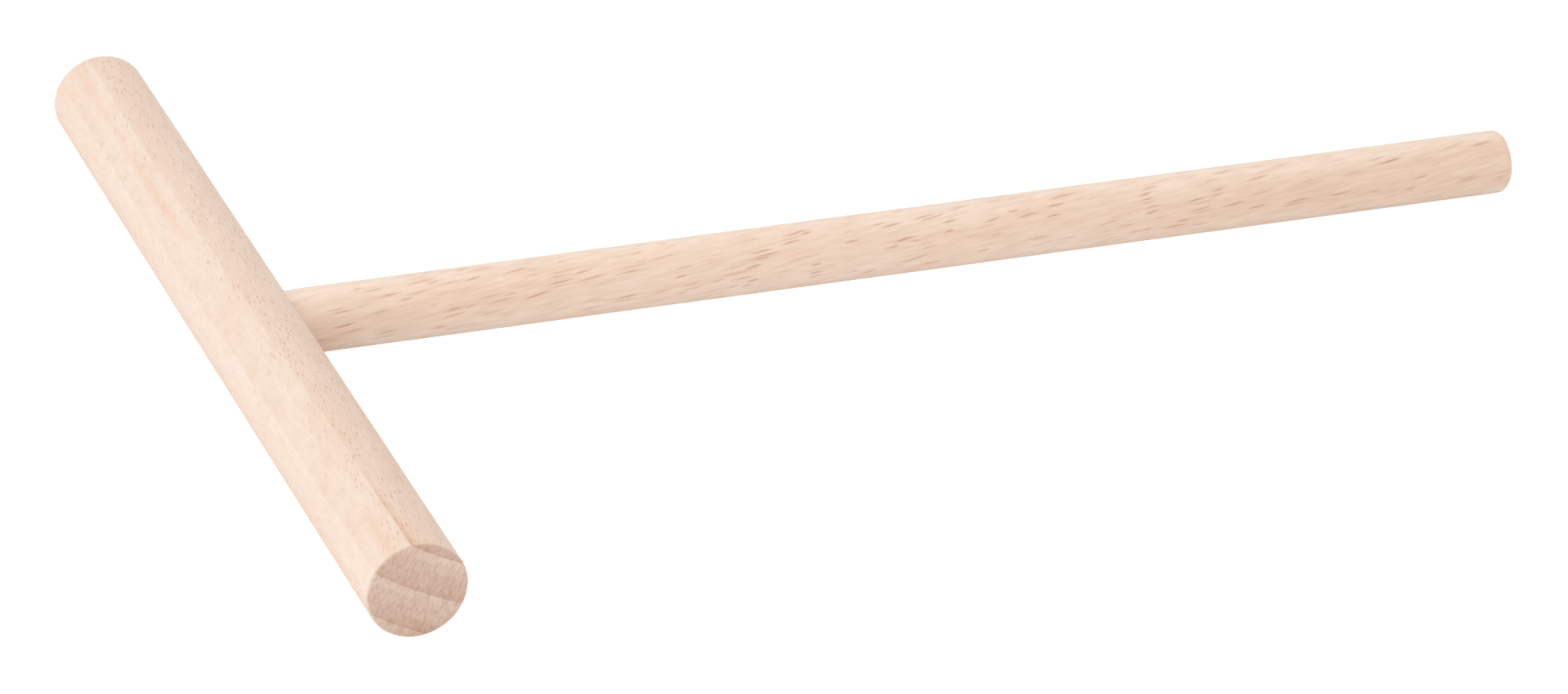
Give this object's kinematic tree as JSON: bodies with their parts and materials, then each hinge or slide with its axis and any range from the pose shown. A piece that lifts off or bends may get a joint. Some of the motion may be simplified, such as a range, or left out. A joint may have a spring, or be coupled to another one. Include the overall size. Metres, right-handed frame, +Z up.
{
  "type": "crepe spreader",
  "caption": "T-shaped wooden batter spreader: a round crossbar drawn over the batter, with a slimmer round handle glued square into its middle.",
  "frame": {"origin": "centre of the outline's box on the underside, with the spreader lying flat", "axes": "+X along the handle from the crossbar to the free tip, +Y along the crossbar, +Z up out of the plane that the T lies in"},
  "size_m": [0.172, 0.13, 0.012],
  "materials": {
    "crossbar_wood": "pale cream beech, sanded fine and left bare",
    "handle_wood": "warmer peach beech with short brown ray flecks, sanded fine and left bare",
    "set_glue": "set wood glue, clear yellowish"
  },
  "bodies": {
    "root": {"crossbar": "crossbar_wood", "handle": "handle_wood", "glue_film": "set_glue"}
  },
  "joints": []
}
